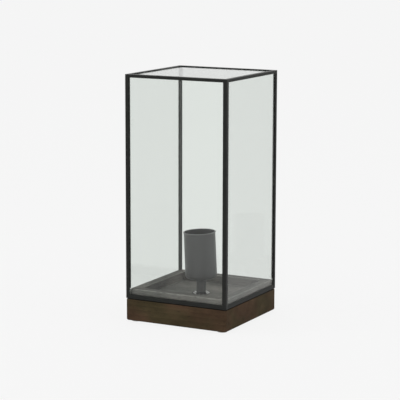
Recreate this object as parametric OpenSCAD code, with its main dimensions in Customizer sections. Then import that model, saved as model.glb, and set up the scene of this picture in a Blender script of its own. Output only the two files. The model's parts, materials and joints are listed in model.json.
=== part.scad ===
// Lantern table lamp: a glazed steel lantern that stands over a low rim on a wooden plinth,
// and lifts off it to reach the lampholder, a metal cup on a short stem.
// Millimetres, Z up. The origin is on the table, under the middle of the lamp.
// The front is the -Y side. The lamp is square, so each side repeats by quarter turns.

/* [Whole lamp] */
// Outside width and depth of the square lamp
side = 160; // [130:1:200]
// Height of the lantern above the plinth
lantern_h = 320.5; // [240:0.5:400]

/* [Plinth] */
// Height of the wooden block
plinth_h = 32.5; // [27:0.5:45]
// Bevel of its upright edges
plinth_edge = 2.5; // [1:0.5:5]
// Bevel of its top and bottom edges
plinth_rim = 1.5; // [0.5:0.5:3]
// Wood left round the wiring space
plinth_wall = 24; // [20:1:30]
// Wood left over the wiring space
plinth_web = 10; // [7:0.5:13]
// Thickness of the felt pads it stands on
pad_t = 1.5; // [1:0.5:3]
// Diameter of the felt pads
pad_d = 14; // [10:1:15]
// Distance from the outside of the plinth to a pad's middle
pad_inset = 11; // [10:1:12]

/* [Rim that centres the lantern] */
// Width of a batten
batten_w = 12.5; // [8:0.5:16]
// Height of a batten
batten_h = 13.5; // [8:0.5:20]
// Gap between the battens and the glass
rim_gap = 0.5; // [0.3:0.1:1.5]

/* [Steel angle] */
// Width of a leg of the corner angles and of the flange at the top
angle_w = 6; // [4:0.5:9]
// Thickness of the steel
angle_t = 1.2; // [0.8:0.1:2]
// Height of the top bars
top_bar_h = 4.5; // [4.5:0.1:8]
// Height of the bottom bars
bottom_bar_h = 6; // [4.5:0.5:9]

/* [Glass] */
// Thickness of the panes
pane_t = 3; // [2:0.5:4]
// Gap at the edges of a pane
pane_gap = 0.2; // [0.1:0.1:0.5]

/* [Lampholder cup] */
// Room between the socket and the wall of the cup, near its bottom
cup_room = 3.8; // [1.5:0.05:6]
// How much wider the cup is at its mouth
cup_flare = 0.5; // [0:0.5:8]
// Height of the cup
cup_h = 68; // [62:1:85]
// Radius round the bottom of the cup
cup_round = 5; // [2:0.5:7]
// Wall of the cup
cup_wall = 1.2; // [0.8:0.1:2]
// How far the cup leans off upright
cup_lean = 2.4; // [0:0.2:4]
// The way the cup leans, anticlockwise from +X
cup_lean_toward = 208; // [0:1:359]

/* [Stem] */
// Height of the cup's bottom over the plinth
stem_h = 22.5; // [16:0.5:40]
// Wall of the sleeve round the rod
sleeve_wall = 1.8; // [0.8:0.1:2.5]
// Diameter of the foot plate
foot_plate_d = 26; // [20:1:36]
// Height of the foot plate
foot_plate_h = 2.5; // [1.5:0.5:4]
// Outside diameter of the hollow rod
rod_d = 10; // [9:0.5:12]
// Bore of the hollow rod
rod_bore = 7; // [6.5:0.1:7.5]

/* [Lamp socket] */
// Bore of the threaded shell that takes the bulb's cap
shell_bore = 26.6; // [26.5:0.1:27]
// Length of the threaded shell
shell_h = 24; // [20:1:25]
// Thickness of the socket, from the shell's bore to its outside
socket_wall = 4.7; // [4:0.1:6]
// Height of the socket's cap
socket_cap_h = 24; // [22:0.5:26]

/* [Cord inlet] */
// Bore of the bushing in the back of the plinth
inlet_bore = 6.6; // [6:0.1:7.4]
// Length of the bushing
inlet_l = 14; // [10:1:18]

/* [Terminal block] */
// Width of the block
block_w = 24; // [20:1:28]
// Length of the block, along the wires
block_l = 16; // [14:1:19]
// Height of the block
block_h = 11; // [10:0.5:12]
// Distance from the lamp's axis to the block's middle
block_y = 30; // [28:1:32]

/* [Hidden] */
$fn = 64;

// Clearances
cut = 1;             // how far a cutter passes the surface that it cuts
seat_gap = 0.01;     // between the stem and the lowest edge of the leaning cup
rod_gap = 0.25;      // round the rod, in the pieces that lean on it
thread_gap = 0.08;   // round the rod, in its nut
plug_gap = 0.2;      // between pieces that slot into each other
screw_gap = 0.1;     // round a screw

// Levels
plinth_top = pad_t + plinth_h;
stem_top = plinth_top + stem_h;
lantern_top = plinth_top + lantern_h;
cavity_top = plinth_top - plinth_web;
half = side / 2;
cavity_half = half - plinth_wall;

// Bottom cover, let into the plinth round the wiring space
cover_t = 3;
cover_ledge = 7;
cover_half = cavity_half + cover_ledge;
cover_screw_at = cavity_half + cover_ledge / 2;
cover_screw_l = 13;
screw_r = 1.5;
screw_head_r = 3;
screw_head_h = 2;
screw_slot = 0.8;
screw_slot_depth = 0.8;

// Rim and lantern
rim_half = half - angle_t - pane_t - rim_gap;
shelf_w = angle_t + pane_t;
pane_bottom = plinth_top + angle_t;
pane_top_z = lantern_top - angle_t - pane_t;

// Stem
rod_r = rod_d / 2;
rod_foot = 7;            // how far the rod hangs below the web
rod_end = 1.5;           // how far it passes the floor of the socket's cap
rod_hole_r = rod_r + 0.3;
washer_r = 11;
washer_t = 1.5;
nut_across = 14;
nut_h = 4;
sleeve_gap = 0.15;       // round the rod, in the stem's sleeve
stem_r = rod_r + sleeve_gap + sleeve_wall;
cup_lift = seat_gap + stem_r * sin(cup_lean);  // along the cup's axis, from the stem's top
foot_plate_flat = 4;     // from the plate's edge in to its flat top
foot_plate_step = 1.2;   // from the plate's edge in to its shoulder

// Socket, measured up the cup's own axis from the outside of its bottom
shell_r = shell_bore / 2;
shell_t = 0.5;
socket_r = shell_r + socket_wall;
cup_bottom_r = socket_r + cup_room + cup_wall;
cup_top_r = cup_bottom_r + cup_flare / 2;
cap_floor = 4;
cap_wall = 2;
cap_top = cup_wall + socket_cap_h;
cap_bevel = max(1, socket_r - (cup_bottom_r - cup_round) + plug_gap);
insert_plug_h = 8;
insert_flange_h = 3;
insert_bottom = cap_top - insert_plug_h;
shell_bottom = cap_top + insert_flange_h;
shell_top = shell_bottom + shell_h;
shell_ledge = 0.8;       // width of insert that shows inside the shell, round the pocket
pocket_r = shell_r - shell_ledge;
pocket_depth = 5;
pocket_floor = shell_bottom - pocket_depth;
barrel_lip = 3;
barrel_top = shell_top + barrel_lip;
barrel_lip_r = shell_r + 0.6;
barrel_skirt = 1;        // wall of the barrel outside the insert's flange
insert_flange_r = socket_r - barrel_skirt;
wire_at = 7;             // where the wires enter the insert, each side of its middle
wire_hole = 4;           // how deep they go into it
rod_top = stem_top + cup_lift + cup_wall + cap_floor + rod_end;

// Contacts
strip_t = 0.5;
strip_w = 6;
foot_l = 4;
foot_gap = 0.1;          // between the foot and the root of the tongue
foot_inset = 1.4;        // between the foot and the pocket's wall
tongue_root = pocket_r - foot_l - foot_gap - foot_inset;  // its distance from the middle
tongue_rise = 3.2;
tongue_reach = 1.5;      // how far the tongue passes the middle
tab_t = 1;               // the side contact's thickness, width and length below the insert
tab_w = 4;
tab_below = 2;

// Inlet
inlet_rise = 10;         // from the cover to the inlet's axis
inlet_wall = 1.7;
inlet_flange_w = 2.5;
inlet_flange_t = 2;
inlet_z = pad_t + cover_t + inlet_rise;
inlet_barrel_r = inlet_bore / 2 + inlet_wall;
inlet_flange_r = inlet_barrel_r + inlet_flange_w;
cord_hole_r = inlet_bore / 2 + 0.7;

// Terminal block and wires
way_at = 5;              // distance of each wire way from the block's middle
way_z = cavity_top - 6;
sleeve_r = 2;
sleeve_bore_r = 1.4;
terminal_screw_r = 1.3;
terminal_screw_at = 4;   // along the way, each side of the block's middle
block_screw_l = block_h + 0.6 * plinth_web;
wire_r = 1.1;
wire_hole_r = wire_r + 0.4;
wire_sides = 8;
in_bore = 1.6;           // distance of each wire from the rod's axis

// The route of a wire, from its terminal, down and up through the rod, to the socket.
// hand is 1 or -1, the side that the wire lies on.
function wire_route(hand) = [
    [hand * way_at, block_y - block_l / 2 + 4, way_z],
    [hand * way_at, block_y - block_l / 2 - 1, way_z],
    [hand * 4.6, block_y - block_l / 2 - 4.5, cavity_top - 6.6],
    [hand * 4, 13, cavity_top - 8.4],
    [hand * 3.2, 9, cavity_top - 10.8],
    [hand * 2.4, 5.4, cavity_top - 12.2],
    [hand * 1.9, 2.4, cavity_top - 12],
    [hand * in_bore, 0.5, cavity_top - 10.2],
    [hand * in_bore, 0, cavity_top - 7.2],
    [hand * in_bore, 0, cavity_top],
    [hand * in_bore, 0, (cavity_top + stem_top) / 2],
    [hand * in_bore, 0, stem_top],
    in_cup([hand * in_bore, 0, insert_bottom - 10]),
    in_cup([hand * 2.3, 0, insert_bottom - 7.4]),
    in_cup([hand * 4, 0, insert_bottom - 5.2]),
    in_cup([hand * 5.8, 0, insert_bottom - 3.2]),
    in_cup([hand * 6.8, 0, insert_bottom - 1.2]),
    in_cup([hand * wire_at, 0, insert_bottom + 0.5]),
    in_cup([hand * wire_at, 0, insert_bottom + wire_hole - 1])
];

function turned(p, a) = [p.x * cos(a) - p.y * sin(a), p.x * sin(a) + p.y * cos(a), p.z];
function tipped(p, a) = [p.x * cos(a) + p.z * sin(a), p.y, p.z * cos(a) - p.x * sin(a)];
// A point given in the cup's own frame, in the lamp's frame
function in_cup(p) =
    let (raised = p + [0, 0, cup_lift])
    [0, 0, stem_top] + turned(tipped(turned(raised, -cup_lean_toward), cup_lean), cup_lean_toward);

// Its children stand in the cup's own frame
module cup_frame() {
    translate([0, 0, stem_top]) rotate([0, 0, cup_lean_toward]) rotate([0, cup_lean, 0])
        rotate([0, 0, -cup_lean_toward]) translate([0, 0, cup_lift]) children();
}

// 0 is the front, 1 the right, 2 the back and 3 the left
module on_side(n) {
    rotate([0, 0, 90 * n]) children();
}

module at_corners(at, z) {
    for (x = [-1, 1], y = [-1, 1]) translate([x * at, y * at, z]) children();
}

// A strip along the front of a square, mitred at both ends
module mitred_strip(outer, w, h) {
    linear_extrude(h)
        polygon([[-outer, -outer], [outer, -outer], [outer - w, -outer + w], [-outer + w, -outer + w]]);
}

module tube(outer_r, inner_r, h) {
    difference() {
        cylinder(r = outer_r, h = h);
        translate([0, 0, -cut]) cylinder(r = inner_r, h = h + 2 * cut);
    }
}

// A countersunk screw with its head down at z = 0, or its hole when it is grown
module countersunk(l, grow = 0) {
    cylinder(r1 = screw_head_r + grow, r2 = screw_r + grow, h = screw_head_h);
    cylinder(r = screw_r + grow, h = l + grow);
}

module slotted_screw(l) {
    difference() {
        countersunk(l);
        cube([2 * screw_head_r + cut, screw_slot, 2 * screw_slot_depth], center = true);
    }
}

// A tube swept along points, with flat ends
module swept(points, r) {
    n = len(points);
    along = [for (i = [0:n - 1]) points[min(i + 1, n - 1)] - points[max(i - 1, 0)]];
    rings = [
        for (i = [0:n - 1])
            let (
                t = along[i] / norm(along[i]),
                across = [1, 0, 0] - t.x * t,
                u = across / norm(across),
                v = cross(t, u)
            )
            for (k = [0:wire_sides - 1])
                points[i] + r * cos(360 * k / wire_sides) * u + r * sin(360 * k / wire_sides) * v
    ];
    walls = [
        for (i = [0:n - 2], k = [0:wire_sides - 1])
            let (a = i * wire_sides + k, b = i * wire_sides + (k + 1) % wire_sides)
            for (tri = [[a, a + wire_sides, b], [b, a + wire_sides, b + wire_sides]]) tri
    ];
    near_end = [for (k = [1:wire_sides - 2]) [0, k, k + 1]];
    last = (n - 1) * wire_sides;
    far_end = [for (k = [1:wire_sides - 2]) [last, last + k + 1, last + k]];
    polyhedron(points = rings, faces = concat(walls, near_end, far_end));
}

// ---- Base ----

module bevelled_profile() {
    polygon([
        [-half + plinth_rim, 0], [half - plinth_rim, 0], [half, plinth_rim],
        [half, plinth_h - plinth_rim], [half - plinth_rim, plinth_h],
        [-half + plinth_rim, plinth_h], [-half, plinth_h - plinth_rim], [-half, plinth_rim]
    ]);
}

module bevelled_square() {
    inner = half - plinth_edge;
    polygon([
        [-inner, -half], [inner, -half], [half, -inner], [half, inner],
        [inner, half], [-inner, half], [-half, inner], [-half, -inner]
    ]);
}

module plinth_block() {
    intersection() {
        linear_extrude(plinth_h) bevelled_square();
        rotate([90, 0, 0]) linear_extrude(side + 2 * cut, center = true) bevelled_profile();
        rotate([90, 0, 90]) linear_extrude(side + 2 * cut, center = true) bevelled_profile();
    }
}

module plinth() {
    color("#41362a") difference() {
        translate([0, 0, pad_t]) plinth_block();
        translate([-cavity_half, -cavity_half, pad_t])
            cube([2 * cavity_half, 2 * cavity_half, cavity_top - pad_t]);
        translate([-cover_half, -cover_half, pad_t - cut])
            cube([2 * cover_half, 2 * cover_half, cover_t + cut]);
        translate([0, 0, cavity_top - cut]) cylinder(r = rod_hole_r, h = plinth_web + 2 * cut);
        at_corners(cover_screw_at, pad_t) cylinder(r = screw_r + screw_gap, h = cover_screw_l + cut);
        translate([0, block_y, cavity_top - cut])
            cylinder(r = screw_r + screw_gap, h = block_screw_l - block_h + 2 * cut);
        translate([0, half, inlet_z]) rotate([-90, 0, 0]) {
            translate([0, 0, -plinth_wall - cut]) cylinder(r = cord_hole_r, h = plinth_wall + 2 * cut);
            translate([0, 0, -inlet_l]) cylinder(r = inlet_barrel_r + screw_gap, h = inlet_l + cut);
            translate([0, 0, -inlet_flange_t])
                cylinder(r = inlet_flange_r + screw_gap, h = inlet_flange_t + cut);
        }
    }
}

module rim_batten(n) {
    color("#3b342b") translate([0, 0, plinth_top]) on_side(n) mitred_strip(rim_half, batten_w, batten_h);
}

module bottom_cover() {
    size = 2 * (cover_half - plug_gap);
    color("#2c2a28") difference() {
        translate([-size / 2, -size / 2, pad_t]) cube([size, size, cover_t]);
        at_corners(cover_screw_at, pad_t) countersunk(cover_screw_l, screw_gap);
        at_corners(cover_screw_at, pad_t - cut) cylinder(r = screw_head_r + screw_gap, h = cut);
    }
}

module cover_screws() {
    color("#a8a8a4") at_corners(cover_screw_at, pad_t) slotted_screw(cover_screw_l);
}

module foot_pads() {
    color("#1d1d1c") at_corners(half - pad_inset, 0) cylinder(d = pad_d, h = pad_t);
}

module cord_bushing() {
    color("#1c1c1c") translate([0, half, inlet_z]) rotate([-90, 0, 0]) rotate_extrude() polygon([
        [inlet_bore / 2, 0], [inlet_bore / 2, -inlet_l], [inlet_barrel_r, -inlet_l],
        [inlet_barrel_r, -inlet_flange_t], [inlet_flange_r, -inlet_flange_t],
        [inlet_flange_r, -0.5], [inlet_flange_r - 0.5, 0]
    ]);
}

module terminal_block() {
    color("#e6e4dc") translate([0, block_y, cavity_top - block_h]) difference() {
        translate([-block_w / 2, -block_l / 2, 0]) cube([block_w, block_l, block_h]);
        for (x = [-1, 1]) {
            translate([x * way_at, 0, way_z - cavity_top + block_h]) rotate([90, 0, 0])
                cylinder(r = sleeve_r + screw_gap, h = block_l + 2 * cut, center = true);
            for (y = [-1, 1]) translate([x * way_at, y * terminal_screw_at, -cut])
                cylinder(r = terminal_screw_r + screw_gap, h = block_h / 2 + cut);
        }
        countersunk(block_screw_l, screw_gap);
        translate([0, 0, -cut]) cylinder(r = screw_head_r + screw_gap, h = cut);
    }
}

module terminal_sleeves() {
    color("#b79a4a") for (x = [-1, 1])
        translate([x * way_at, block_y + block_l / 2 - 1, way_z]) rotate([90, 0, 0])
            tube(sleeve_r, sleeve_bore_r, block_l - 2);
}

module terminal_screws() {
    top = way_z - sleeve_r - screw_gap;
    bottom = cavity_top - block_h + 0.5;
    color("#a8a8a4") for (x = [-1, 1], y = [-1, 1])
        translate([x * way_at, block_y + y * terminal_screw_at, bottom]) difference() {
            cylinder(r = terminal_screw_r, h = top - bottom);
            cube([4 * terminal_screw_r, 0.6, 1], center = true);
        }
}

module block_screw() {
    color("#a8a8a4") translate([0, block_y, cavity_top - block_h]) slotted_screw(block_screw_l);
}

// ---- Stem ----

module hollow_rod() {
    bottom = cavity_top - rod_foot;
    color("#8f8f8b") translate([0, 0, bottom]) tube(rod_r, rod_bore / 2, rod_top - bottom);
}

module rod_washer() {
    color("#a8a8a4") translate([0, 0, cavity_top - washer_t]) tube(washer_r, rod_r + plug_gap, washer_t);
}

module rod_nut() {
    color("#a8a8a4") translate([0, 0, cavity_top - washer_t - nut_h]) difference() {
        cylinder(r = nut_across / sqrt(3), h = nut_h, $fn = 6);
        translate([0, 0, -cut]) cylinder(r = rod_r + thread_gap, h = nut_h + 2 * cut);
    }
}

module foot_plate() {
    r = foot_plate_d / 2;
    color("#7a7877") translate([0, 0, plinth_top]) rotate_extrude() polygon([
        [rod_r + plug_gap, 0], [r, 0], [r, foot_plate_h * 0.3],
        [r - foot_plate_step, foot_plate_h * 0.7], [r - foot_plate_flat, foot_plate_h],
        [rod_r + plug_gap, foot_plate_h]
    ]);
}

module stem_sleeve() {
    color("#3b3b3a") translate([0, 0, plinth_top + foot_plate_h])
        tube(stem_r, rod_r + sleeve_gap, stem_h - foot_plate_h);
}

// ---- Lampholder ----

// Points of a quarter turn from straight down to straight out
function corner_points(cx, cy, r, steps = 6) = [
    for (i = [0:steps]) [cx + r * sin(90 * i / steps), cy - r * cos(90 * i / steps)]
];

module lampholder_cup() {
    round_x = cup_bottom_r - cup_round;
    outside = corner_points(round_x, cup_round, cup_round);
    inside = corner_points(round_x, cup_round, cup_round - cup_wall);
    color("#3a3a39") cup_frame() rotate_extrude() polygon(concat(
        [[rod_r + rod_gap, 0]], outside, [[cup_top_r, cup_h], [cup_top_r - cup_wall, cup_h]],
        [for (i = [len(inside) - 1:-1:0]) inside[i]], [[rod_r + rod_gap, cup_wall]]
    ));
}

// Its bevel clears the round bottom of the cup
module socket_cap() {
    bore_r = rod_r + rod_gap;
    inner_r = socket_r - cap_wall;
    color("#222222") cup_frame() translate([0, 0, cup_wall]) rotate_extrude() polygon([
        [bore_r, 0], [socket_r - cap_bevel, 0], [socket_r, cap_bevel], [socket_r, socket_cap_h],
        [inner_r, socket_cap_h], [inner_r, cap_floor], [bore_r, cap_floor]
    ]);
}

module socket_insert() {
    plug_r = socket_r - cap_wall - plug_gap;
    color("#d9d5c8") cup_frame() difference() {
        union() {
            translate([0, 0, insert_bottom]) cylinder(r = plug_r, h = insert_plug_h);
            translate([0, 0, cap_top]) cylinder(r = insert_flange_r, h = insert_flange_h);
        }
        translate([0, 0, pocket_floor]) cylinder(r = pocket_r, h = shell_bottom - pocket_floor + cut);
        for (x = [-1, 1]) translate([x * wire_at, 0, insert_bottom - cut])
            cylinder(r = wire_hole_r, h = wire_hole + cut);
        side_contact_shape(screw_gap);
    }
}

// The barrel drops over the insert's flange and screws to the cap
module socket_barrel() {
    skirt_r = insert_flange_r + plug_gap;
    color("#222222") cup_frame() rotate_extrude() polygon([
        [socket_r, cap_top], [socket_r, barrel_top], [barrel_lip_r, barrel_top],
        [barrel_lip_r, shell_top + plug_gap], [shell_r + shell_t + plug_gap, shell_top + plug_gap],
        [shell_r + shell_t + plug_gap, shell_bottom + plug_gap], [skirt_r, shell_bottom + plug_gap],
        [skirt_r, cap_top]
    ]);
}

module threaded_shell() {
    color("#c9b37a") cup_frame() translate([0, 0, shell_bottom]) tube(shell_r + shell_t, shell_r, shell_h);
}

module side_contact_shape(grow = 0) {
    tab_h = shell_bottom - insert_bottom + tab_below;
    translate([shell_r - grow, -tab_w / 2 - grow, insert_bottom - tab_below - grow])
        cube([tab_t + 2 * grow, tab_w + 2 * grow, tab_h + 2 * grow]);
}

module side_contact() {
    color("#c9b37a") cup_frame() side_contact_shape();
}

// The flat foot that holds the tongue down on the insert
module contact_foot() {
    color("#c9b37a") cup_frame() translate([-tongue_root - foot_gap - foot_l, -strip_w / 2, pocket_floor])
        cube([foot_l, strip_w, strip_t]);
}

// The sprung tongue that meets the bulb's tip, and gives way about its root
module centre_contact() {
    color("#c9b37a") cup_frame() translate([0, strip_w / 2, pocket_floor]) rotate([90, 0, 0])
        linear_extrude(strip_w) polygon([
            [-tongue_root, 0], [-tongue_root, strip_t], [-tongue_reach, tongue_rise + strip_t],
            [tongue_reach, tongue_rise + strip_t], [tongue_reach, tongue_rise],
            [strip_t / 2 - tongue_reach, tongue_rise]
        ]);
}

module live_wire() {
    color("#6b4a2c") swept(wire_route(1), wire_r);
}

module neutral_wire() {
    color("#3f6ea8") swept(wire_route(-1), wire_r);
}

// ---- Lantern ----

module upright(n) {
    color("#2b2d2a") translate([0, 0, pane_bottom]) on_side(n)
        linear_extrude(lantern_h - 2 * angle_t) polygon([
            [-half, -half], [-half + angle_w, -half], [-half + angle_w, -half + angle_t],
            [-half + angle_t, -half + angle_t], [-half + angle_t, -half + angle_w],
            [-half, -half + angle_w]
        ]);
}

// A bar between two uprights: its upright leg, and a mitred flange at z = flange_z
module bar(n, leg_z, leg_h, flange_z, flange_w) {
    color("#2b2d2a") on_side(n) {
        translate([-half + angle_w, -half, leg_z]) cube([side - 2 * angle_w, angle_t, leg_h]);
        translate([0, 0, flange_z]) mitred_strip(half, flange_w, angle_t);
    }
}

module bottom_bar(n) {
    bar(n, plinth_top, bottom_bar_h, plinth_top, shelf_w);
}

module top_bar(n) {
    bar(n, lantern_top - top_bar_h, top_bar_h, lantern_top - angle_t, angle_w);
}

// Upright panes: the front and back ones are the wide ones, the other two stand between them
module pane(n, half_w) {
    color("#c8d6d0", 0.35) on_side(n) translate([-half_w, -half + angle_t, pane_bottom])
        cube([2 * half_w, pane_t, pane_top_z - pane_bottom]);
}

module wide_pane(n) {
    pane(n, half - angle_t - pane_gap);
}

module narrow_pane(n) {
    pane(n, half - angle_t - pane_t - pane_gap);
}

module pane_top() {
    w = 2 * (half - angle_t - pane_gap);
    color("#c8d6d0", 0.35) translate([-w / 2, -w / 2, pane_top_z]) cube([w, w, pane_t]);
}

plinth();
rim_batten(0);  // rim_batten_front
rim_batten(1);  // rim_batten_right
rim_batten(2);  // rim_batten_back
rim_batten(3);  // rim_batten_left
bottom_cover();
cover_screws();
foot_pads();
cord_bushing();
terminal_block();
terminal_sleeves();
terminal_screws();
block_screw();
hollow_rod();
rod_washer();
rod_nut();
foot_plate();
stem_sleeve();
lampholder_cup();
socket_cap();
socket_insert();
socket_barrel();
threaded_shell();
side_contact();
contact_foot();
centre_contact();
live_wire();
neutral_wire();
upright(0);  // upright_front_left
upright(1);  // upright_front_right
upright(2);  // upright_back_right
upright(3);  // upright_back_left
bottom_bar(0);  // bottom_bar_front
bottom_bar(1);  // bottom_bar_right
bottom_bar(2);  // bottom_bar_back
bottom_bar(3);  // bottom_bar_left
top_bar(0);  // top_bar_front
top_bar(1);  // top_bar_right
top_bar(2);  // top_bar_back
top_bar(3);  // top_bar_left
wide_pane(0);  // pane_front
narrow_pane(1);  // pane_right
wide_pane(2);  // pane_back
narrow_pane(3);  // pane_left
pane_top();
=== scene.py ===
# %% [markdown]
# # A glass lantern table lamp
# The lamp is a square steel lantern, glazed on five sides, that stands round a low rim on
# a block of dark wood. A metal cup on a short stem holds the bulb inside it. The load-bearing
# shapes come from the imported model, and this notebook gives each of them its real edges,
# threads and finish. Every length is in metres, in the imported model's own frame.

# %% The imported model
import json
import math
from contextlib import contextmanager

import bmesh
import bpy
from mathutils import Matrix, Vector


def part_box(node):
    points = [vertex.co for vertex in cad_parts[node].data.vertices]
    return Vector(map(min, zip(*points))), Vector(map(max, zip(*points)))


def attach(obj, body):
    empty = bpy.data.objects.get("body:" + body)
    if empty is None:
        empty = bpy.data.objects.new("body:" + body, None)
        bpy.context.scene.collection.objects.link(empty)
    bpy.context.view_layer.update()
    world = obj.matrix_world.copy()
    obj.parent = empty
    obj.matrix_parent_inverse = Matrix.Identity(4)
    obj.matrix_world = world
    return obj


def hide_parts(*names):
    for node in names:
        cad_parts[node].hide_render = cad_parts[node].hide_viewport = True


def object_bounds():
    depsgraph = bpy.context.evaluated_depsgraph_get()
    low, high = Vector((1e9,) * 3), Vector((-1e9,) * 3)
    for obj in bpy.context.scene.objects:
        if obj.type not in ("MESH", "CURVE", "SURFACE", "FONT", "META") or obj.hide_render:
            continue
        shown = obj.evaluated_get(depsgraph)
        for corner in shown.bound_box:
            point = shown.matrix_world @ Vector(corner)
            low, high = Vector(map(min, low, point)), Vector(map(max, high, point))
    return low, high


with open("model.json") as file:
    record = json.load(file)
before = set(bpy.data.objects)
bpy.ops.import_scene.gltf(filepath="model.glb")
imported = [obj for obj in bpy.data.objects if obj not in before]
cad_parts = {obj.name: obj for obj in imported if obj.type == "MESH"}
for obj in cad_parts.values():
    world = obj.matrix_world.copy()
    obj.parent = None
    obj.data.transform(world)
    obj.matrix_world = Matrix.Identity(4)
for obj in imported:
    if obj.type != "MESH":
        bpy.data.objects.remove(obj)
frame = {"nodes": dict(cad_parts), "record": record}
cad_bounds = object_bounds()
MM = 0.001

# %% [markdown]
# ## The camera
# The photograph was taken from far away with a long lens, a little above the lamp and to the
# right of its front. Its place was solved from the straight edges of the lantern, so it is
# written here as a real place, a heading, a tilt, a slight roll and a lens.

# %% Camera
CAMERA_AT = Vector((1.0921, -2.0754, 0.5722))
HEADING = math.radians(27.82)
TILT_DOWN = math.radians(9.72)
ROLL = math.radians(0.13)
LENS = 149.1

camera_data = bpy.data.cameras.new("camera")
camera_data.lens = LENS
camera = bpy.data.objects.new("camera", camera_data)
bpy.context.collection.objects.link(camera)
camera.matrix_world = (
    Matrix.Translation(CAMERA_AT)
    @ Matrix.Rotation(HEADING, 4, "Z")
    @ Matrix.Rotation(math.pi / 2 - TILT_DOWN, 4, "X")
    @ Matrix.Rotation(ROLL, 4, "Z")
)
bpy.context.scene.camera = camera
bpy.context.scene.view_settings.view_transform = "Standard"
print("camera distance from the lamp:", round(CAMERA_AT.length, 3))

# %% [markdown]
# ## Building node materials
# A material is a small graph. It could be wired up one node and one link at a time, but the
# pattern is lost to sight that way. These helpers add a node, feed its inputs and give back
# the socket that the next node needs, so that each finish below reads from pattern to surface.

# %% Nodes and their sockets
def add_node(finish, kind, inputs=None, **options):
    """Adds a node, sets its options, and gives each input a value or links a socket to it."""
    node = finish.node_tree.nodes.new(kind)
    for name, value in options.items():
        setattr(node, name, value)
    for name, value in (inputs or {}).items():
        if isinstance(value, bpy.types.NodeSocket):
            finish.node_tree.links.new(value, node.inputs[name])
        else:
            node.inputs[name].default_value = value
    return node


def new_finish(name, **constants):
    """A new material, and its Principled shader with these constants on its own sockets."""
    finish = bpy.data.materials.new(name + "_finish")
    finish.use_nodes = True
    shader = finish.node_tree.nodes["Principled BSDF"]
    for key, value in constants.items():
        shader.inputs[key.replace("_", " ").title().replace("Ior", "IOR")].default_value = value
    return finish, shader


# %% [markdown]
# The next helpers are the patterns that all the finishes share: where a point is, noise, and
# ways to spread, mix and combine values. A bump at the end turns a pattern into a surface.

# %% Patterns
def place_of(finish, attribute=None):
    """The socket that says where a point is: on the object, or in a piece's own attribute."""
    if attribute:
        return add_node(finish, "ShaderNodeAttribute", attribute_name=attribute).outputs["Vector"]
    return add_node(finish, "ShaderNodeTexCoord").outputs["Object"]


def stretched(finish, place, scale, offset=(0, 0, 0)):
    """Place, scaled along each axis and then moved, for patterns that run one way."""
    inputs = {"Vector": place, "Scale": scale, "Location": offset}
    return add_node(finish, "ShaderNodeMapping", inputs).outputs["Vector"]


def noise(finish, place, scale, detail=3.0, roughness=0.55, distortion=0.0):
    """Soft random variation from 0 to 1, with scale features in a metre."""
    inputs = {"Vector": place, "Scale": scale, "Detail": detail, "Roughness": roughness}
    inputs["Distortion"] = distortion
    return add_node(finish, "ShaderNodeTexNoise", inputs).outputs["Fac"]


def remap(finish, value, low, high, to_low=0.0, to_high=1.0):
    """Value between low and high, spread over another range and held inside it."""
    inputs = {"Value": value, "From Min": low, "From Max": high, "To Min": to_low, "To Max": to_high}
    return add_node(finish, "ShaderNodeMapRange", inputs, clamp=True).outputs["Result"]


def math_node(finish, operation, a, b=0.0):
    """One sum, product or other operation on two numbers or sockets."""
    return add_node(finish, "ShaderNodeMath", {0: a, 1: b}, operation=operation).outputs["Value"]


def vector_node(finish, operation, inputs, result="Vector"):
    """One operation on vectors, such as places and colours."""
    return add_node(finish, "ShaderNodeVectorMath", inputs, operation=operation).outputs[result]


def blend_colours(finish, share, a, b):
    """Colour a, with share of colour b laid over it."""
    colours = [c if isinstance(c, bpy.types.NodeSocket) else (*c, 1.0) for c in (a, b)]
    inputs = {0: share, 6: colours[0], 7: colours[1]}
    return add_node(finish, "ShaderNodeMix", inputs, data_type="RGBA").outputs[2]


def bumped(finish, height, depth, under=None):
    """A surface raised by depth metres where height is 1, over another bump if one is given."""
    inputs = {"Height": height, "Distance": depth, "Strength": 1.0}
    if under:
        inputs["Normal"] = under
    return add_node(finish, "ShaderNodeBump", inputs).outputs["Normal"]


def feed(finish, shader, **sockets):
    """Links sockets to the shader's inputs."""
    for key, socket in sockets.items():
        finish.node_tree.links.new(socket, shader.inputs[key.replace("_", " ").title()])
    print("finish:", finish.name)
    return finish


# %% [markdown]
# ## The room
# The photograph shows the lamp on a pale ground with no horizon and hardly a shadow. The
# ground is mostly its own pale colour to whatever looks at it, and the rest of it takes the
# light, so the lamp still leaves a soft shadow. The world does the same: it shows the pale
# colour to the camera, to gloss and through glass, and lights the lamp from all round.
# A real room isn't pale everywhere, and glass mirrors its dark parts too. So what is seen by
# way of a mirror image, which Light Path counts as Glossy Depth, is dimmer than the rest.

# %% Pale ground and world
PALE = (0.93, 0.93, 0.93)
GROUND_SIZE = 40.0
GROUND_GLOW = 0.92
SKY_LIGHT = 0.78
GROUND_MIRRORED = 0.50
SKY_MIRRORED = 0.86


def seen_directly(finish):
    """1 for rays that show a surface, in the camera, in gloss and through glass, else 0."""
    path = add_node(finish, "ShaderNodeLightPath")
    seen = math_node(finish, "MAXIMUM", path.outputs["Is Camera Ray"], path.outputs["Is Glossy Ray"])
    return math_node(finish, "MAXIMUM", seen, path.outputs["Is Transmission Ray"])


def dimmed(finish, mirrored_level):
    """This level for rays that come by way of a mirror image, and 1 for the rest."""
    mirrored = add_node(finish, "ShaderNodeLightPath").outputs["Glossy Depth"]
    return remap(finish, mirrored, 0.0, 1.0, 1.0, mirrored_level)


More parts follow.
